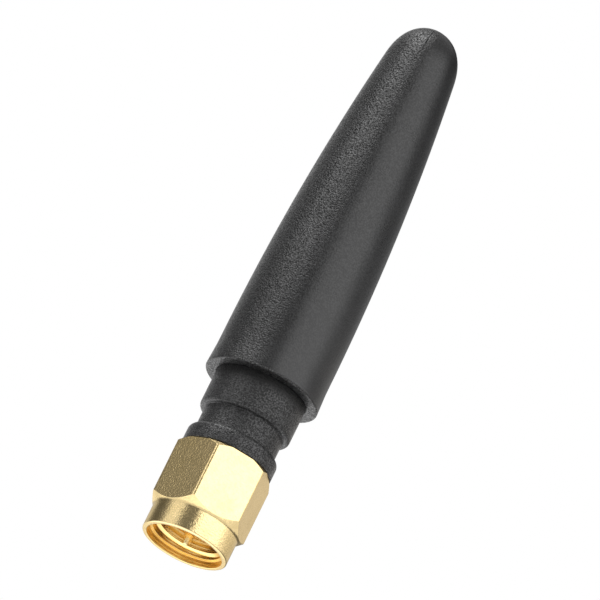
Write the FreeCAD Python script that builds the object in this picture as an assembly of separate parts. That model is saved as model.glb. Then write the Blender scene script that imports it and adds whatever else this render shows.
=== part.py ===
"""Short wifi antenna: a tapered moulded sleeve on a stepped neck, with a threaded coaxial plug at its foot.

Sizes are in millimetres. +Z runs along the antenna from the plug's open mouth to the sleeve's rounded tip,
and the origin is the middle of the mouth. The antenna stands on the rim of its coupling nut, and every piece
but the nut's hexagon, the open retaining ring and the coil is turned about Z.
"""

import FreeCAD, Part
import math
import os

Vec = FreeCAD.Vector
Z_AXIS = Vec(0, 0, 1)
ORIGIN = Vec(0, 0, 0)

# Air between the pieces
tight = 0.01  # radial gap of a pressed, moulded or glued seat
running = 0.05  # radial gap of a surface that turns on another
end_play = 0.05  # axial gap on each side of the retaining ring and behind the nut

# Coupling nut: a round collar at the mouth, then a hexagon with turned ends
nut_length = 8.4
hex_across_flats = 8.0
hex_start = 2.34
hex_edge_round = 0.32
hex_front_r = 3.97
hex_rear_r = 4.12
collar_r = 3.9
collar_edge = 0.12
mouth_r = 3.5
counterbore_r = 3.3
counterbore_depth = 0.65
thread_major_r = 6.35 / 2
thread_end = 5.0
nut_land_r = 2.95

# Retaining ring and the way it slides on the plug's body
ring_wire = 0.5
ring_inner_r = 2.6
ring_outer_r = 3.1
ring_gap_width = 0.9
ring_rest = 5.8
nut_groove_r = 3.3
nut_travel = 0.6

# Plug: outer contact, insulator and centre pin
contact_r = 2.3
contact_bore_r = 2.06
contact_edge = 0.1
reference_plane = 2.7
body_shoulder = 4.6
journal_r = 2.75
ring_seat_r = 2.35
shank_r = 3.0
shank_root_r = 2.8
shank_length = 3.7
barb_count = 2
pin_tip = 0.15
pin_r = 0.46
pin_nose = 0.2
pin_in_bead_r = 0.635
pin_tail_r = 0.5
pin_tail = 2.3  # above the floor of the neck's cavity

# Neck: the moulded base that holds the plug's shank and carries the sleeve
flange_r = 4.13
flange_height = 1.6
flange_round = 0.4
waist_r = 3.63
waist_height = 2.03
neck_r = 4.15
neck_round = 0.35
neck_showing = 3.56
neck_cavity_r = 2.9
neck_web = 1.25
pin_passage_r = 0.7

# Sleeve: one long arc for its side, a small round tip and a slightly flared rim
sleeve_length = 36.17
sleeve_overlap = 5.1
widest_height = 2.96
sleeve_side_arc = 237.7
sleeve_wall = 0.92  # over the neck, where the sleeve is widest
sleeve_rim_r = 5.19
sleeve_rim_land = 0.25
flare_height = 2.9
tip_height = 3.6
tip_side_pull = 0.61  # share of the tip's height over which the tip's curve follows the side
tip_top_pull = 0.55  # share of the tip's radius over which it follows the flat top
tip_cuts = (0, 0.2, 0.4, 0.6, 0.8, 1)  # shares of the tip's curve that it is drawn in
side_cuts = (0, 0.16, 0.32, 0.46, 0.6, 0.74, 0.88, 1)  # shares of its height that the long arc is drawn in
cavity_step_in = 0.76  # from the neck's socket to the cavity above it
cavity_low_height = 12.2
coil_clearance = 0.3
tip_thickness = 6.7

# Radiator: a stud on the centre pin and an open coil on the stud
stud_r = 1.69
stud_foot_r = 2.4
stud_foot_height = 0.6
stud_height = 4.9
stud_edge = 0.25
stud_bore_depth = 2.6
coil_wire_r = 0.3
coil_turns = 4
coil_wire_flats = 6  # the round wire is drawn with this many flats
coil_headroom = 3.5

# Worked out from the sizes above
sleeve_max_r = neck_r + tight + sleeve_wall
cavity_low_r = neck_r + tight - cavity_step_in
coil_r = stud_r + tight + coil_wire_r
cavity_end_r = coil_r + coil_wire_r + coil_clearance
neck_face = nut_length + end_play
ring_top = ring_rest + ring_wire
groove_low = ring_rest - end_play
groove_high = ring_top + end_play
body_groove_low = ring_rest - nut_travel - end_play
shank_end = neck_face + shank_length
flange_top = neck_face + flange_height
waist_top = flange_top + waist_height
neck_floor = shank_end + neck_web
sleeve_base = waist_top + neck_showing
neck_top = sleeve_base + sleeve_overlap
flare_top = sleeve_base + flare_height
widest = sleeve_base + widest_height
total_length = sleeve_base + sleeve_length
tip_start = total_length - tip_height
cavity_top = total_length - tip_thickness
pin_tail_end = neck_floor + pin_tail
stud_top = neck_floor + stud_height
stud_bore_top = neck_floor + stud_bore_depth
coil_start = neck_floor + stud_foot_height + coil_wire_r + tight
coil_pitch = (cavity_top - coil_headroom - coil_start) / coil_turns
cavity_step = neck_top + cavity_low_height


def line(a, b):
    """A straight edge between two (radius, height) points of a section."""
    return Part.makeLine(Vec(a[0], 0, a[1]), Vec(b[0], 0, b[1]))


def arc(a, through, b, as_spline=False):
    """A round edge of a section through three (radius, height) points. A flat one turns best as a spline."""
    points = [Vec(p[0], 0, p[1]) for p in (a, through, b)]
    curve = Part.Arc(*points)
    return curve.toBSpline().toShape() if as_spline else curve.toShape()


def smooth_edges(points, cuts):
    """A smooth curve through the first and last point, drawn in lengths. The points between them pull it."""
    edges = []
    for start, end in zip(cuts, cuts[1:]):
        curve = Part.BezierCurve()
        curve.setPoles([Vec(p[0], 0, p[1]) for p in points])
        curve.segment(start, end)
        edges.append(curve.toShape())
    return edges


def turned_edges(edges):
    """The solid that a closed chain of section edges makes when it turns about Z."""
    face = Part.Face(Part.Wire(edges))
    solid = face.revolve(ORIGIN, Z_AXIS, 360)
    return solid if solid.Volume > 0 else solid.reversed()


def turned(points):
    """The solid that a polygon of (radius, height) points makes when it turns about Z."""
    return turned_edges([line(a, b) for a, b in zip(points, points[1:] + points[:1])])


def on_circle(centre, radius, degrees):
    """The point of a section at an angle on a circle, measured from straight out towards up."""
    angle = math.radians(degrees)
    return (centre[0] + radius * math.cos(angle), centre[1] + radius * math.sin(angle))


def hexagon_prism(across_flats, low, high, edge_round):
    """A hexagon prism with two corners on the X axis and rounded upright edges."""
    corner_r = across_flats / math.sqrt(3)
    corners = [on_circle((0, 0), corner_r, 60 * i) for i in range(7)]
    outline = Part.makePolygon([Vec(x, y, low) for x, y in corners])
    prism = Part.Face(outline).extrude(Vec(0, 0, high - low))
    upright = [e for e in prism.Edges if abs(e.Vertexes[0].Z - e.Vertexes[1].Z) > (high - low) / 2]
    return prism.makeFillet(edge_round, upright)


def coupling_nut():
    """The nut: hexagon and collar outside, counterbore, thread bore, ring groove and rear bore inside."""
    middle = (hex_start + nut_length) / 2
    chamfers = turned([
        (0, hex_start),
        (hex_front_r, hex_start),
        (hex_front_r + middle - hex_start, middle),
        (hex_rear_r + nut_length - middle, middle),
        (hex_rear_r, nut_length),
        (0, nut_length),
    ])
    hexagon = hexagon_prism(hex_across_flats, hex_start, nut_length, hex_edge_round).common(chamfers)
    collar = turned([
        (0, 0),
        (collar_r - collar_edge, 0),
        (collar_r, collar_edge),
        (collar_r, hex_start + hex_edge_round),
        (0, hex_start + hex_edge_round),
    ])
    lead = mouth_r - counterbore_r
    thread_lead = counterbore_r - thread_major_r
    bore = turned([
        (0, -1),
        (mouth_r, -1),
        (mouth_r, 0),
        (counterbore_r, lead),
        (counterbore_r, counterbore_depth),
        (thread_major_r, counterbore_depth + thread_lead),
        (thread_major_r, thread_end),
        (nut_land_r, thread_end + thread_major_r - nut_land_r),
        (nut_land_r, groove_low),
        (nut_groove_r, groove_low),
        (nut_groove_r, groove_high),
        (journal_r + running, groove_high),
        (journal_r + running, nut_length + 1),
        (0, nut_length + 1),
    ])
    return hexagon.fuse(collar).cut(bore).removeSplitter()


def retaining_ring():
    """The open ring that keeps the nut on the plug's body."""
    ring = turned([
        (ring_inner_r, ring_rest),
        (ring_outer_r, ring_rest),
        (ring_outer_r, ring_top),
        (ring_inner_r, ring_top),
    ])
    gap = Part.makeBox(2 * ring_wire, ring_gap_width, 2 * ring_wire)
    gap.translate(Vec(ring_inner_r - ring_wire / 2, -ring_gap_width / 2, ring_rest - ring_wire / 2))
    return ring.cut(gap)


def connector_body():
    """The plug's turned metal body: contact ring, ring groove, journal and barbed shank."""
    outline = [
        (contact_bore_r, reference_plane),
        (contact_r - contact_edge, reference_plane),
        (contact_r, reference_plane + contact_edge),
        (contact_r, body_shoulder),
        (journal_r, body_shoulder),
        (journal_r, body_groove_low),
        (ring_seat_r, body_groove_low),
        (ring_seat_r, groove_high),
        (journal_r, groove_high),
        (journal_r, neck_face),
    ]
    barb = shank_length / barb_count
    for i in range(barb_count):
        outline.append((shank_r, neck_face + i * barb))
        outline.append((shank_root_r, neck_face + (i + 1) * barb))
    outline.append((contact_bore_r, shank_end))
    return turned(outline)


def insulator():
    """The white bead that holds the pin in the middle of the body."""
    return turned([
        (pin_in_bead_r + tight, reference_plane),
        (contact_bore_r - tight, reference_plane),
        (contact_bore_r - tight, shank_end),
        (pin_in_bead_r + tight, shank_end),
    ])


def centre_pin():
    """The gilt pin: a slender front, a thicker middle in the bead and a tail that goes into the stud."""
    return turned([
        (0, pin_tip),
        (pin_r - pin_nose, pin_tip),
        (pin_r, pin_tip + pin_nose),
        (pin_r, reference_plane),
        (pin_in_bead_r, reference_plane),
        (pin_in_bead_r, shank_end),
        (pin_tail_r, shank_end),
        (pin_tail_r, pin_tail_end),
        (0, pin_tail_end),
    ])


def neck():
    """The stepped plastic neck, with the socket for the plug's shank below and the coil's cavity above.

    Its two rounded edges are drawn with two flats each.
    """
    low = (flange_r - flange_round, flange_top - flange_round)
    high = (neck_r - neck_round, waist_top + neck_round)
    return turned([
        (shank_r + tight, neck_face),
        (flange_r, neck_face),
        *[on_circle(low, flange_round, degrees) for degrees in (0, 45, 90)],
        (waist_r, flange_top),
        (waist_r, waist_top),
        *[on_circle(high, neck_round, degrees) for degrees in (-90, -45, 0)],
        (neck_r, neck_top),
        (neck_cavity_r, neck_top),
        (neck_cavity_r, neck_floor),
        (pin_passage_r, neck_floor),
        (pin_passage_r, shank_end),
        (shank_r + tight, shank_end),
    ])


def sleeve():
    """The tapered sleeve: one long arc for its side, a round tip that runs on from it, and a stepped bore."""
    side = (sleeve_max_r - sleeve_side_arc, widest)
    side_height = tip_start - flare_top

    def side_point(height):
        return (side[0] + math.sqrt(sleeve_side_arc**2 - (height - side[1]) ** 2), height)

    joint = side_point(tip_start)
    lean = (tip_start - side[1]) / (joint[0] - side[0])
    follow = tip_side_pull * tip_height
    along_side = (joint[0] - follow * lean, tip_start + follow)
    along_top = (tip_top_pull * joint[0], total_length)

    flank = []
    for low, high in zip(side_cuts, side_cuts[1:]):
        points = [side_point(flare_top + share * side_height) for share in (low, (low + high) / 2, high)]
        flank.append(arc(*points, as_spline=True))
    bore_r = neck_r + tight
    rim_top = sleeve_base + sleeve_rim_land
    return turned_edges([
        line((bore_r, sleeve_base), (sleeve_rim_r, sleeve_base)),
        line((sleeve_rim_r, sleeve_base), (sleeve_rim_r, rim_top)),
        line((sleeve_rim_r, rim_top), side_point(flare_top)),
        *flank,
        *smooth_edges([joint, along_side, along_top, (0, total_length)], tip_cuts),
        line((0, total_length), (0, cavity_top)),
        line((0, cavity_top), (cavity_end_r, cavity_top)),
        line((cavity_end_r, cavity_top), (cavity_end_r, cavity_step + cavity_low_r - cavity_end_r)),
        line((cavity_end_r, cavity_step + cavity_low_r - cavity_end_r), (cavity_low_r, cavity_step)),
        line((cavity_low_r, cavity_step), (cavity_low_r, neck_top)),
        line((cavity_low_r, neck_top), (bore_r, neck_top)),
        line((bore_r, neck_top), (bore_r, sleeve_base)),
    ])


def feed_stud():
    """The brass stud that is pushed over the pin's tail and carries the coil."""
    foot_top = neck_floor + stud_foot_height
    return turned([
        (pin_tail_r + tight, neck_floor),
        (stud_foot_r, neck_floor),
        (stud_foot_r, foot_top),
        (stud_r, foot_top),
        (stud_r, stud_top - stud_edge),
        (stud_r - stud_edge, stud_top),
        (0, stud_top),
        (0, stud_bore_top),
        (pin_tail_r + tight, stud_bore_top),
    ])


def radiator_coil():
    """The open coil that radiates, wound on the stud at its lower end."""
    turn_length = 2 * math.pi * coil_r
    lead = math.atan2(coil_pitch, turn_length)
    path = Part.makeHelix(coil_pitch, coil_pitch * coil_turns, coil_r)
    flat = 360 / coil_wire_flats
    corners = [on_circle((0, 0), coil_wire_r, flat * i) for i in range(coil_wire_flats + 1)]
    section = Part.makePolygon([Vec(coil_r + u, -v * math.sin(lead), v * math.cos(lead)) for u, v in corners])
    coil = Part.Wire(path.Edges).makePipeShell([section], True, True)
    coil.translate(Vec(0, 0, coil_start))
    return coil


pieces = {
    "sleeve": sleeve,
    "neck": neck,
    "coupling_nut": coupling_nut,
    "retaining_ring": retaining_ring,
    "connector_body": connector_body,
    "insulator": insulator,
    "centre_pin": centre_pin,
    "feed_stud": feed_stud,
    "radiator_coil": radiator_coil,
}

os.makedirs("parts", exist_ok=True)
for name, make in pieces.items():
    shape = make()
    solid = shape.Solids[0]
    solid.exportStep(f"parts/{name}.step")
    print(f"{name}: {solid.Volume:.2f} mm3, valid {solid.isValid()}, solids {len(shape.Solids)}")
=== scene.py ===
import math

import bmesh
import bpy
from mathutils import Matrix, Vector


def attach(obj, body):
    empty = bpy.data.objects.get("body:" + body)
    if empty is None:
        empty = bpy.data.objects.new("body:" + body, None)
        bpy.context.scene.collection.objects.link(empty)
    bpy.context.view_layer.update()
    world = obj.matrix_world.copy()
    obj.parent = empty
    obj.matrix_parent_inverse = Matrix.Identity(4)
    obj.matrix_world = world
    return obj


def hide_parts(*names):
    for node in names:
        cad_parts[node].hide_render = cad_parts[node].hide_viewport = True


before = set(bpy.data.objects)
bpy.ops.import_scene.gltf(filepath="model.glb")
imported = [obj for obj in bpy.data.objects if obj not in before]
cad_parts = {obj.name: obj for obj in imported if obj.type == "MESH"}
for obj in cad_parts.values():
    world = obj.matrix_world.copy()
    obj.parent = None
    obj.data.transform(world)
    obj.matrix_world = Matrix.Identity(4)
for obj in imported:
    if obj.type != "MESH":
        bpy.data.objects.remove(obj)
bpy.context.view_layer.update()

MM = 0.001
Z_AXIS = Vector((0, 0, 1))

# Sizes in millimetres, as the solids have them. The nut's open mouth is at height 0.
TOTAL_LENGTH = 51.81

# Coupling nut
NUT_LENGTH = 8.4
COLLAR_R = 3.9
HEX_START = 2.34
HEX_BLANK_R = 4.7  # the bar that the hexagon is milled from
FLATS_TO_AXIS = 4.0
HEX_EDGE_ROUND = 0.32
THREAD_PITCH = 25.4 / 36
THREAD_ROOT_R, THREAD_CREST_R = 3.19, 2.87
THREAD_LOW, THREAD_HIGH = 0.8, 4.85
RING_GROOVE_LOW, RING_GROOVE_HIGH = 5.75, 6.35

# Centre pin
PIN_TIP = 0.15
PIN_R = 0.46
REFERENCE_PLANE = 2.7
SHANK_END = 12.15
PIN_TAIL = 2.3

# Neck
NECK_FACE = 8.45
FLANGE_R, WAIST_R, NECK_R = 4.13, 3.63, 4.15
FLANGE_TOP = 10.05
WAIST_TOP = 12.08
NECK_FLOOR = 13.4
NECK_TOP = 20.74
SHANK_BORE_R, PIN_BORE_R, NECK_CAVITY_R = 3.01, 0.7, 2.9

# Sleeve
SLEEVE_BASE = 15.64
SOCKET_R = 4.16
FLARE_TOP = 18.54
SLEEVE_WIDEST, SLEEVE_MAX_R, SLEEVE_SIDE_ARC = 18.6, 5.08, 237.7
TIP_HEIGHT, TIP_SIDE_PULL, TIP_TOP_PULL = 3.6, 0.61, 0.55
CAVITY_LOW_R, CAVITY_HIGH_R = 3.4, 2.6
CAVITY_TAPER_LOW, CAVITY_TAPER_HIGH, CAVITY_TOP = 32.94, 33.74, 45.11
PARTING_AZIMUTH = math.radians(-24.6)


def azimuth_direction(azimuth):
    """The level direction at an azimuth, where 0 is -Y and 90 degrees is +X."""
    return Vector((math.sin(azimuth), -math.cos(azimuth), 0))


# Camera

def place_camera():
    """The photograph's view: a long lens in front and below, rolled so the antenna leans to the right."""
    azimuth, elevation, roll = (math.radians(v) for v in (-14.6, -20.8, 26.3))
    across, along, distance = 9.77, 20.735, 1.6
    level = azimuth_direction(azimuth)
    towards_camera = level * math.cos(elevation) + Z_AXIS * math.sin(elevation)
    forward = -towards_camera
    antenna_up = (Z_AXIS - forward * Z_AXIS.dot(forward)).normalized()
    antenna_right = forward.cross(antenna_up)
    up = antenna_up * math.cos(roll) - antenna_right * math.sin(roll)
    right = antenna_up * math.sin(roll) + antenna_right * math.cos(roll)
    data = bpy.data.cameras.new("camera")
    data.lens = 1140
    data.sensor_width = 36
    data.clip_start = 0.05
    data.clip_end = 20
    camera = bpy.data.objects.new("camera", data)
    bpy.context.scene.collection.objects.link(camera)
    spot = right * across * MM + up * along * MM + towards_camera * distance
    turn = Matrix((right, up, towards_camera)).transposed().to_4x4()
    camera.matrix_world = Matrix.Translation(spot) @ turn
    bpy.context.scene.camera = camera


# Shader maths

class Link:
    """A shader socket. A sign between two of them, or one and a number, adds its Math node."""

    def __init__(self, shader, socket):
        self.shader = shader
        self.socket = socket

    def maths(self, operation, *others):
        inputs = {i: value for i, value in enumerate((self,) + others)}
        return self.shader.node("Math", inputs, operation=operation)

    def __add__(self, other):
        return self.maths("ADD", other)

    def __radd__(self, other):
        return self.maths("ADD", other)

    def __sub__(self, other):
        return self.maths("SUBTRACT", other)

    def __rsub__(self, other):
        return self.shader.node("Math", {0: other, 1: self}, operation="SUBTRACT")

    def __mul__(self, other):
        return self.maths("MULTIPLY", other)

    def __rmul__(self, other):
        return self.maths("MULTIPLY", other)

    def smooth(self, start, end):
        """0 before start, 1 after end and a soft step between."""
        inputs = {"Value": self, "From Min": start, "From Max": end}
        return self.shader.node("MapRange", inputs, interpolation_type="SMOOTHSTEP")


class Shader:
    """The nodes of one material or world."""

    def __init__(self, owner):
        owner.use_nodes = True
        self.tree = owner.node_tree
        self.tree.nodes.clear()

    def node(self, kind, inputs=None, output=0, **settings):
        """Adds a node with its settings and the values or links of its sockets, and gives one output."""
        added = self.tree.nodes.new("ShaderNode" + kind)
        for name, value in settings.items():
            setattr(added, name, value)
        for name, value in (inputs or {}).items():
            if isinstance(value, Link):
                self.tree.links.new(value.socket, added.inputs[name])
            else:
                added.inputs[name].default_value = value
        return Link(self, added.outputs[output]) if added.outputs else None

    def mix(self, factor, a, b):
        """One colour turning into another."""
        return self.node("Mix", {0: factor, 6: a, 7: b}, output=2, data_type="RGBA")

    def noise(self, place, scale, detail=2.0, roughness=0.5):
        inputs = {"Vector": place, "Scale": scale, "Detail": detail, "Roughness": roughness}
        return self.node("TexNoise", inputs)

    def place(self):
        """The piece's own coordinates, in metres."""
        return self.node("TexCoord", output="Object")

    def bump(self, depth, height, strength=1.0):
        """A relief of so many millimetres."""
        return self.node("Bump", {"Strength": strength, "Distance": depth * MM, "Height": height})


def colour(r, g, b):
    return (r, g, b, 1)


# Materials. A noise's scale is about the number of its spots in a metre.

def moulded_plastic(name, dark, light, roughness, smooth_half, foot_grain, painted_shade_from=None):
    """Spark-eroded moulded plastic: fine glinting grain, slightly uneven gloss and faint dust in the grain.

    The right half of the mould leaves only the share smooth_half of the grain, and what is at the sleeve's
    foot or lower has foot_grain of it at least. Above painted_shade_from, in millimetres, the glints and the
    dust
    fade out: painted shade that darkens the piece where it runs up under the rim of another one.
    """
    material = bpy.data.materials.new(name)
    s = Shader(material)
    place = s.place()
    z = s.node("SeparateXYZ", {0: place}, output=2)
    right_half = Vector((math.cos(PARTING_AZIMUTH), math.sin(PARTING_AZIMUTH), 0))
    leftness = s.node("VectorMath", {0: place, 1: -right_half}, output="Value", operation="DOT_PRODUCT")
    depth = smooth_half + leftness.smooth(-1.2 * MM, 1.2 * MM) * (1 - smooth_half)
    depth = depth * (0.65 + z.smooth(17 * MM, 32 * MM) * 0.35)
    on_foot = 1 - z.smooth((SLEEVE_BASE + 0.05) * MM, (SLEEVE_BASE + 0.2) * MM)
    depth = depth.maths("MAXIMUM", on_foot * foot_grain)
    grain = s.noise(place, 7000, 2.0, 0.65)
    speck = s.node("TexVoronoi", {"Vector": place, "Scale": 7000}, feature="F1")
    coarse = s.noise(place, 2400, 2.0, 0.5)
    patches = s.noise(place, 330, 3.0, 0.55)
    relief = (grain * 0.7 + coarse * 0.12 + speck * 0.5) * depth
    dust_and_shade = (grain.smooth(0.4, 0.66) - 0.4) * depth + 0.4 + (patches - 0.5) * 0.3
    glint = (grain.smooth(0.44, 0.6) - 0.5) * depth * 1.3 + 0.44 + (patches - 0.5) * 0.2
    # Painted shade: above this height the coat glints and the pale dust fade out, darkening the neck under
    # the sleeve's rim
    if painted_shade_from:
        painted_shade = z.smooth(painted_shade_from * MM, (painted_shade_from + 1.3) * MM)
        glint = glint * (1 - painted_shade)
        dust_and_shade = dust_and_shade * (1 - painted_shade)
    inputs = {
        "Base Color": s.mix(dust_and_shade, colour(*dark), colour(*light)),
        "Roughness": roughness + (patches - 0.5) * 0.16 + (grain - 0.5) * 0.3 * depth,
        "Normal": s.bump(0.13, relief),
        "IOR": 1.42,
        "Coat Weight": glint,
        "Coat Roughness": 0.32,
    }
    surface = s.node("BsdfPrincipled", inputs)
    s.node("OutputMaterial", {"Surface": surface})
    return material


def gilt_metal(name, base, worn, roughness):
    """Thin plating on turned brass: clear reflections, fine pits and faint stains.

    Inside the nut and the plug's body it has turning marks instead of pits, and a painted deeper yellow
    shade.
    """
    material = bpy.data.materials.new(name)
    s = Shader(material)
    place = s.place()
    pits = s.noise(place, 6000, 2.0, 0.6)
    blotches = s.noise(place, 2900, 3.0, 0.7)
    waves = s.noise(place, 900, 2.0, 0.5)
    rubbed = s.noise(place, 420, 4.0, 0.6)
    turning = s.node("TexWave", {"Vector": place, "Scale": 1300, "Distortion": 0.8}, output="Fac",
                     wave_type="BANDS", bands_direction="Z")
    level_place = s.node("VectorMath", {0: place, 1: (1, 1, 0)}, operation="MULTIPLY")
    from_axis = s.node("VectorMath", {0: level_place}, output="Value", operation="LENGTH")
    in_bore = from_axis.smooth(0.6 * MM, 0.8 * MM) * (1 - from_axis.smooth(3.49 * MM, 3.56 * MM))
    stain = rubbed.smooth(0.4, 0.75) * 0.4 + blotches.smooth(0.3, 0.7) * 0.35
    relief = pits * 11 * (1 - in_bore * 0.9) + waves * 2.2 + turning * in_bore * 3.0
    # Painted shade: inside the bore the colour is mixed towards a deeper, darker yellow that stands in for
    # its warm inner shade
    painted_bore_shade = colour(base[0] * 0.98, base[1] * 0.9, base[2] * 0.68)
    inputs = {
        "Base Color": s.mix(in_bore * 0.8, s.mix(stain, colour(*base), colour(*worn)), painted_bore_shade),
        "Metallic": 1.0,
        "Specular Tint": colour(0.98, 0.93, 0.82),
        "Roughness": (roughness + (rubbed - 0.5) * 0.12 + (pits - 0.5) * 0.1) * (1 + in_bore * 0.15),
        "Normal": s.bump(0.002, relief),
    }
    surface = s.node("BsdfPrincipled", inputs)
    s.node("OutputMaterial", {"Surface": surface})
    return material


def white_bead(name):
    """Waxy white fluoroplastic with faint turning marks."""
    material = bpy.data.materials.new(name)
    s = Shader(material)
    place = s.place()
    cloud = s.noise(place, 700, 3.0, 0.5)
    rings = s.node("TexWave", {"Vector": place, "Scale": 2200, "Distortion": 0.4}, wave_type="RINGS",
                   rings_direction="Z")
    inputs = {
        "Base Color": s.mix(cloud, colour(0.86, 0.84, 0.78), colour(0.78, 0.75, 0.68)),
        "Roughness": 0.38 + (cloud - 0.5) * 0.15,
        "Subsurface Weight": 0.15,
        "Subsurface Radius": (0.6 * MM, 0.6 * MM, 0.6 * MM),
        "Subsurface Scale": 1.0,
        "Normal": s.bump(0.004, rings + cloud, 0.5),
    }
    surface = s.node("BsdfPrincipled", inputs)
    s.node("OutputMaterial", {"Surface": surface})
    return material


# Turned pieces

def section_mesh(points):
    """A flat section from (radius, height) points in millimetres. A third number rounds that corner."""
    bm = bmesh.new()
    corners = [bm.verts.new((p[0] * MM, 0, p[1] * MM)) for p in points]
    bm.faces.new(corners)
    for point, corner in zip(points, corners):
        if len(point) > 2:
            bmesh.ops.bevel(bm, geom=[corner], offset=point[2] * MM, offset_type="OFFSET", segments=6,
                            profile=0.5, affect="VERTICES", clamp_overlap=False, material=-1)
    return bm


def turned_mesh(points, steps=144):
    """The closed surface that a section makes when it turns about Z. Edges on the axis are left out."""
    bm = section_mesh(points)
    bmesh.ops.delete(bm, geom=bm.faces[:], context="FACES_ONLY")
    on_axis = [e for e in bm.edges if all(abs(v.co.x) < 1e-9 for v in e.verts)]
    bmesh.ops.delete(bm, geom=on_axis, context="EDGES")
    bmesh.ops.spin(bm, geom=bm.verts[:] + bm.edges[:], cent=(0, 0, 0), axis=Z_AXIS, dvec=(0, 0, 0),
                   angle=math.tau, steps=steps, use_merge=True, use_duplicate=False)
    bmesh.ops.remove_doubles(bm, verts=bm.verts[:], dist=1e-7)
    bmesh.ops.recalc_face_normals(bm, faces=bm.faces[:])
    return bm


def finished_piece(name, bm, material, body, replaced, sharp, worn_edge=0.0):
    """Turns a bmesh into a named piece that rides on a body in place of a CAD node.

    An edge sharper than so many degrees stays crisp, or is worn round where worn_edge gives a width.
    """
    mesh = bpy.data.meshes.new(name)
    bm.to_mesh(mesh)
    bm.free()
    mesh.materials.append(material)
    mesh.polygons.foreach_set("use_smooth", [True] * len(mesh.polygons))
    piece = bpy.data.objects.new(name, mesh)
    bpy.context.scene.collection.objects.link(piece)
    if worn_edge:
        bevel = piece.modifiers.new("worn_edges", "BEVEL")
        bevel.width = worn_edge * MM
        bevel.segments = 2
        bevel.limit_method = "ANGLE"
        bevel.angle_limit = math.radians(sharp)
        bevel.harden_normals = True
    else:
        mesh.set_sharp_from_angle(angle=math.radians(sharp))
    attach(piece, body)
    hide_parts(replaced)
    return piece


# Sleeve

def sleeve_side_r(height):
    """Radius of the sleeve's long side arc at a height."""
    rise = height - SLEEVE_WIDEST
    return SLEEVE_MAX_R - SLEEVE_SIDE_ARC + math.sqrt(SLEEVE_SIDE_ARC ** 2 - rise ** 2)


def sleeve_outline():
    """Section of the sleeve: flared rim, long side arc, round tip, and the stepped bore inside."""
    outline = [(SOCKET_R, SLEEVE_BASE, 0.06), (5.19, SLEEVE_BASE, 0.12), (5.17, SLEEVE_BASE + 0.4)]
    outline += [(5.13, SLEEVE_BASE + 1.2), (5.085, SLEEVE_BASE + 2.1)]
    side_end = TOTAL_LENGTH - TIP_HEIGHT
    side_steps = 22
    for i in range(side_steps + 1):
        height = FLARE_TOP + (side_end - FLARE_TOP) * i / side_steps
        outline.append((sleeve_side_r(height), height))

    # The tip is one smooth curve that leaves the side arc in line with it and is level on the axis
    end_r = sleeve_side_r(side_end)
    lean = (side_end - SLEEVE_WIDEST) / (end_r + SLEEVE_SIDE_ARC - SLEEVE_MAX_R)
    follow = TIP_SIDE_PULL * TIP_HEIGHT
    pulls = [
        (end_r, side_end), (end_r - follow * lean, side_end + follow), (TIP_TOP_PULL * end_r, TOTAL_LENGTH),
    ]
    tip_steps = 18
    for i in range(1, tip_steps):
        t = i / tip_steps
        shares = (1 - t) ** 3, 3 * t * (1 - t) ** 2, 3 * t * t * (1 - t)
        radius = sum(share * pull[0] for share, pull in zip(shares, pulls))
        height = sum(share * pull[1] for share, pull in zip(shares, pulls)) + t ** 3 * TOTAL_LENGTH
        outline.append((radius, height))
    outline += [
        (0, TOTAL_LENGTH), (0, CAVITY_TOP), (CAVITY_HIGH_R, CAVITY_TOP), (CAVITY_HIGH_R, CAVITY_TAPER_HIGH),
        (CAVITY_LOW_R, CAVITY_TAPER_LOW), (CAVITY_LOW_R, NECK_TOP), (SOCKET_R, NECK_TOP),
    ]
    return outline


def on_sleeve_outside(vertex):
    """Whether a vertex is on the sleeve's outside and not on the wall of its socket or cavity."""
    radius = vertex.co.xy.length / MM
    height = vertex.co.z / MM
    past_socket = radius > SOCKET_R + 0.14
    past_low_cavity = height > NECK_TOP + 0.36 and radius > CAVITY_LOW_R + 0.1
    past_high_cavity = height > CAVITY_TAPER_HIGH + 0.36 and radius > CAVITY_HIGH_R + 0.1
    return past_socket or past_low_cavity or past_high_cavity or height > CAVITY_TOP + 0.89


def make_sleeve(material):
    """The sleeve, with the mould halves' slight crease at the parting line and a thin groove at the tip."""
    bm = turned_mesh(sleeve_outline(), 180)
    along = azimuth_direction(PARTING_AZIMUTH)
    across = along.cross(Z_AXIS)
    groove_half_width, groove_depth = 0.07, 0.05
    for offset in (-groove_half_width, 0.0, groove_half_width):
        bmesh.ops.bisect_plane(bm, geom=bm.verts[:] + bm.edges[:] + bm.faces[:], dist=1e-7,
                               plane_co=across * offset * MM, plane_no=across)
    for vertex in [v for v in bm.verts if on_sleeve_outside(v)]:
        t = vertex.co.dot(along)
        n = vertex.co.dot(across)
        radius = math.hypot(t, n)
        if radius < 1e-7:
            continue

        # Each half bulges a little towards the parting line, but not at the foot, so they meet in a crease
        rise = min(max((vertex.co.z / MM - SLEEVE_BASE - 0.4) / 6, 0), 1)
        crease = 0.06 * MM * rise * min(radius / (3.0 * MM), 1)
        t *= 1 + (math.sqrt(radius ** 2 + 2 * radius * crease) / radius - 1) * (t / radius) ** 2

        # The groove runs along the parting line over the tip, but for its very top
        near_tip = min(max((vertex.co.z / MM - 47.9) / 1.0, 0), 1) * min(max(radius / MM - 0.9, 0) / 0.6, 1)
        if abs(n) < 1e-3 * MM:
            t -= math.copysign(groove_depth * MM * near_tip, t)
        vertex.co = along * t + across * n + Z_AXIS * vertex.co.z
    finished_piece("sleeve_shell", bm, material, "antenna", "sleeve", sharp=28)


# Neck

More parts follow.
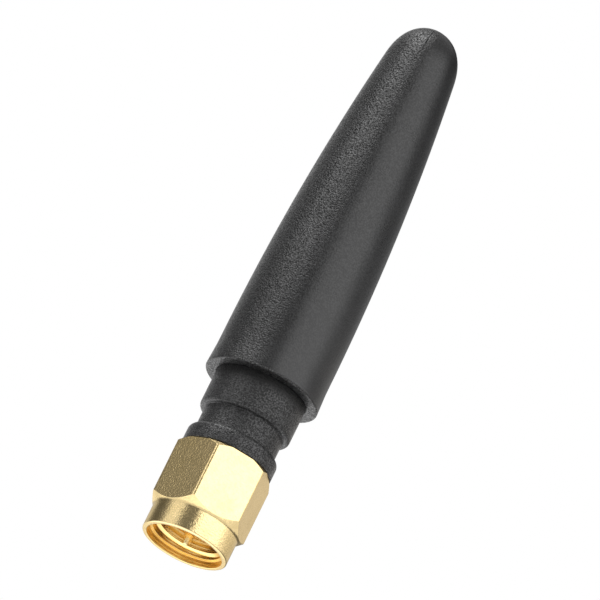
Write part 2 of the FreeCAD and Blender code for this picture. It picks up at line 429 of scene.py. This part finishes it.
def make_neck(material):
    """The stepped neck with its rounded flange and the rounded lower edge of its upper part."""
    bm = turned_mesh([
        (SHANK_BORE_R, NECK_FACE), (FLANGE_R, NECK_FACE, 0.06), (FLANGE_R, FLANGE_TOP, 0.4),
        (WAIST_R, FLANGE_TOP, 0.1), (WAIST_R, WAIST_TOP, 0.08), (NECK_R, WAIST_TOP, 0.35),
        (NECK_R, NECK_TOP, 0.1), (NECK_CAVITY_R, NECK_TOP), (NECK_CAVITY_R, NECK_FLOOR),
        (PIN_BORE_R, NECK_FLOOR), (PIN_BORE_R, SHANK_END), (SHANK_BORE_R, SHANK_END),
    ])
    finished_piece("neck_moulding", bm, material, "antenna", "neck", sharp=32)


# Coupling nut

def mill_flat(bm, degrees, distance):
    """Mills one flat: cuts away all beyond a plane at a distance from the axis and closes the cut."""
    facing = Vector((math.cos(math.radians(degrees)), math.sin(math.radians(degrees)), 0))
    cut = bmesh.ops.bisect_plane(bm, geom=bm.verts[:] + bm.edges[:] + bm.faces[:], dist=1e-8,
                                 plane_co=facing * distance * MM, plane_no=facing, clear_outer=True)
    rim = [e for e in cut["geom_cut"] if isinstance(e, bmesh.types.BMEdge)]
    bmesh.ops.edgeloop_fill(bm, edges=rim)


def add_coupling_thread(bm):
    """The coupling thread: a right-handed ridge up the bore that fades out at both ends."""
    steps_in_turn = 60
    fade_turns, least_height = 0.12, 0.3
    profile = [
        (THREAD_ROOT_R, -0.27), (THREAD_CREST_R, -0.085), (THREAD_CREST_R, 0.085), (THREAD_ROOT_R, 0.27),
    ]
    thread = bmesh.new()
    corners = [thread.verts.new((-r * MM, 0, (THREAD_LOW + z) * MM)) for r, z in profile]
    for a, b in zip(corners, corners[1:] + corners[:1]):
        thread.edges.new((a, b))
    turns = (THREAD_HIGH - THREAD_LOW) / THREAD_PITCH
    steps = round(turns * steps_in_turn)
    bmesh.ops.spin(thread, geom=thread.verts[:] + thread.edges[:], cent=(0, 0, 0), axis=Z_AXIS,
                   dvec=(0, 0, THREAD_PITCH / steps_in_turn * MM), angle=math.tau * steps / steps_in_turn,
                   steps=steps, use_merge=False, use_duplicate=False)
    ends = [e for e in thread.edges if e.is_boundary]
    bmesh.ops.holes_fill(thread, edges=ends, sides=4)
    bmesh.ops.recalc_face_normals(thread, faces=thread.faces[:])
    for vertex in thread.verts:
        radius = vertex.co.xy.length
        share = (math.atan2(-vertex.co.y, -vertex.co.x) / math.tau) % 1
        turn = share + round((vertex.co.z / MM - THREAD_LOW) / THREAD_PITCH - share)
        fade = min(max(min(turn, turns - turn) / fade_turns, least_height), 1)
        if radius < (THREAD_ROOT_R - 0.01) * MM:
            faded_r = THREAD_ROOT_R - (THREAD_ROOT_R - THREAD_CREST_R) * fade
            vertex.co.xy = vertex.co.xy * (faded_r * MM / radius)
    mesh = bpy.data.meshes.new("thread")
    thread.to_mesh(mesh)
    thread.free()
    bm.from_mesh(mesh)
    bpy.data.meshes.remove(mesh)


def make_coupling_nut(material):
    """The nut, made as the real one is: turned all over, then six flats milled, their edges rounded."""
    outside = [
        (3.48, 0, 0.04), (COLLAR_R, 0, 0.14), (COLLAR_R, HEX_START - 0.07, 0.17),
        (HEX_BLANK_R, HEX_START + 0.73), (HEX_BLANK_R, NUT_LENGTH - 0.58), (4.12, NUT_LENGTH),
    ]
    inside = [
        (2.8, NUT_LENGTH), (2.8, RING_GROOVE_HIGH), (3.3, RING_GROOVE_HIGH), (3.3, RING_GROOVE_LOW),
        (2.95, RING_GROOVE_LOW), (2.95, 5.225), (3.175, 5.0), (3.175, 0.66), (3.43, 0.6),
    ]
    bm = turned_mesh(outside + inside)
    corner_centre = (FLATS_TO_AXIS - HEX_EDGE_ROUND) / math.cos(math.radians(30))
    for side in range(6):
        mill_flat(bm, 30 + 60 * side, FLATS_TO_AXIS)
    for corner in range(6):
        for turn in (0, -12, 12, -22, 22):
            distance = corner_centre * math.cos(math.radians(turn)) + HEX_EDGE_ROUND
            mill_flat(bm, 60 * corner + turn, distance)
    bmesh.ops.recalc_face_normals(bm, faces=bm.faces[:])
    flats = [f for f in bm.faces if f.calc_area() > 8 * MM * MM and abs(f.normal.z) < 0.01]
    bmesh.ops.inset_individual(bm, faces=flats, thickness=0.05 * MM, depth=0, use_even_offset=True)
    add_coupling_thread(bm)
    finished_piece("hexagon_nut", bm, material, "nut", "coupling_nut", sharp=26, worn_edge=0.07)


# Centre pin

def make_centre_pin(material):
    """The gilt pin with its rounded nose."""
    bm = turned_mesh([
        (0, PIN_TIP), (0.2, PIN_TIP, 0.08), (PIN_R, PIN_TIP + 1.0, 0.15), (PIN_R, REFERENCE_PLANE),
        (0.635, REFERENCE_PLANE), (0.635, SHANK_END), (0.5, SHANK_END), (0.5, NECK_FLOOR + PIN_TAIL),
        (0, NECK_FLOOR + PIN_TAIL),
    ], 64)
    finished_piece("contact_pin", bm, material, "antenna", "centre_pin", sharp=32)


# Floor and light

def make_floor():
    """A pale floor that only a camera above it sees, so light from below still reaches the plug's mouth."""
    bm = bmesh.new()
    bmesh.ops.create_grid(bm, x_segments=2, y_segments=2, size=0.9)
    mesh = bpy.data.meshes.new("floor")
    bm.to_mesh(mesh)
    bm.free()
    floor = bpy.data.objects.new("floor", mesh)
    floor.location.z = -0.02 * MM
    bpy.context.scene.collection.objects.link(floor)
    material = bpy.data.materials.new("floor_paint")
    s = Shader(material)
    seen = s.node("LightPath", output="Is Camera Ray")
    back = s.node("NewGeometry", output="Backfacing")
    shade = s.mix(s.noise(s.place(), 40), colour(0.88, 0.88, 0.88), colour(0.9, 0.9, 0.9))
    paint = s.node("BsdfDiffuse", {"Color": shade})
    clear = s.node("BsdfTransparent")
    surface = s.node("MixShader", {0: seen * (1 - back), 1: clear, 2: paint})
    s.node("OutputMaterial", {"Surface": surface})
    mesh.materials.append(material)


def make_world():
    """The studio. The camera sees plain white, and the pieces see soft boxes with dark gaps between them.

    The boxes are a tall one on the left, one in front, a low card on the right, a pale back, a bright ceiling
    and a bright floor. Each is a window of azimuth, in degrees from -Y towards +X, and of z, the sine of the
    elevation.
    """
    world = bpy.data.worlds.new("studio")
    bpy.context.scene.world = world
    s = Shader(world)
    direction = s.node("TexCoord", output="Generated")
    x, y, z = (s.node("SeparateXYZ", {0: direction}, output=i) for i in range(3))
    azimuth = s.node("Math", {0: x, 1: 0 - y}, operation="ARCTAN2") * (180 / math.pi)

    def between(start, end, soft):
        return azimuth.smooth(start - soft, start + soft) * (1 - azimuth.smooth(end - soft, end + soft))

    # Level with the antenna
    above_level = z.smooth(0.12, 0.26)
    pale_band = above_level * (1 - z.smooth(0.42, 0.52)) * (0.16 - between(-142, -113, 5) * 0.1)
    left_box = between(-96, -56, 5) + between(-56, -38, 6) * z.smooth(0.45, 0.6) * 0.6
    left_box = left_box * (0.7 + z.smooth(0.39, 0.54) * 2.8)
    right_card = between(55, 98, 12) + between(98, 150, 8) * 0.3
    right_card = right_card * (above_level * (1 - z.smooth(0.37, 0.45))) * 0.48
    back_left = (1 - azimuth.smooth(-158, -140)) * 0.4
    back_right = azimuth.smooth(150, 172) * 0.35
    front_box = azimuth.smooth(-21, -5) * (1 - azimuth.smooth(46, 82)) * (0.5 + z.smooth(0.06, 0.24) * 1.35)
    low_back = (1 - between(-150, 150, 14)) * (1 - z.smooth(0.06, 0.2)) * 0.5
    strength = 0.06 + (1 - z.smooth(0.06, 0.2)) * 0.1
    for card in (pale_band, left_box, right_card, back_left, back_right, front_box, low_back):
        strength = strength + card

    # Overhead and underneath
    overhead = z.smooth(0.6, 0.85)
    strength = strength * (1 - overhead) + overhead * (0.4 + between(-140, -50, 20) * 2.6)
    underneath = 1 - z.smooth(-0.33, -0.18)
    under_back = (1 - between(-125, 125, 25)) * (1 - z.smooth(-0.6, -0.45))
    strength = strength * (1 - underneath) + underneath * 0.9
    strength = strength + under_back * 1.1 + (1 - z.smooth(-0.9, -0.7)) * 0.6
    seen = s.node("LightPath", output="Is Camera Ray")
    backdrop = s.node("Background", {"Color": colour(1, 1, 1), "Strength": seen + (1 - seen) * strength})
    s.node("OutputWorld", {"Surface": backdrop})


def make_lamp(name, azimuth, elevation, distance, width, height, power, aim, tint=(1, 1, 1)):
    """A soft box, in metres and watts, that looks at a point on the antenna's axis, aim millimetres up."""
    data = bpy.data.lights.new(name, "AREA")
    data.shape = "RECTANGLE"
    data.size = width
    data.size_y = height
    data.energy = power
    data.color = tint
    lamp = bpy.data.objects.new(name, data)
    lamp.visible_camera = False
    level = azimuth_direction(math.radians(azimuth))
    away = level * math.cos(math.radians(elevation)) + Z_AXIS * math.sin(math.radians(elevation))
    middle = Vector((0, 0, aim * MM))
    facing = away.to_track_quat("Z", "Y").to_matrix().to_4x4()
    lamp.matrix_world = Matrix.Translation(middle + away * distance) @ facing
    bpy.context.scene.collection.objects.link(lamp)


place_camera()

black = (0.003, 0.003, 0.003)
sleeve_plastic = moulded_plastic("sleeve_plastic", black, (0.02, 0.02, 0.021), 0.3, 0.25, 0.9)
# From 14 mm up the neck gets painted shade under the sleeve's rim
neck_plastic = moulded_plastic("neck_plastic", black, (0.034, 0.034, 0.035), 0.34, 0.6, 0.68, 14.0)
gilt_brass = gilt_metal("gilt_brass", (0.95, 0.74, 0.38), (0.76, 0.58, 0.27), 0.19)
plain_brass = gilt_metal("plain_brass", (0.80, 0.62, 0.30), (0.62, 0.45, 0.2), 0.34)
spring_bronze = gilt_metal("spring_bronze", (0.76, 0.52, 0.28), (0.6, 0.38, 0.2), 0.3)
white_plastic = white_bead("white_plastic")

make_sleeve(sleeve_plastic)
make_neck(neck_plastic)
make_coupling_nut(gilt_brass)
make_centre_pin(gilt_brass)
kept_nodes = {
    "connector_body": gilt_brass, "insulator": white_plastic, "feed_stud": plain_brass,
    "radiator_coil": plain_brass, "retaining_ring": spring_bronze,
}
for node, material in kept_nodes.items():
    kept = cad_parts[node]
    kept.data.materials.clear()
    kept.data.materials.append(material)

make_floor()
make_world()
make_lamp("overhead_box", -75, 62, 0.8, 0.35, 0.35, 1.2, 30)
make_lamp("plug_card", 108, 20.8, 0.06, 0.09, 0.024, 0.0024, 4.5, (1, 0.93, 0.85))

bpy.context.scene.view_settings.view_transform = "Standard"
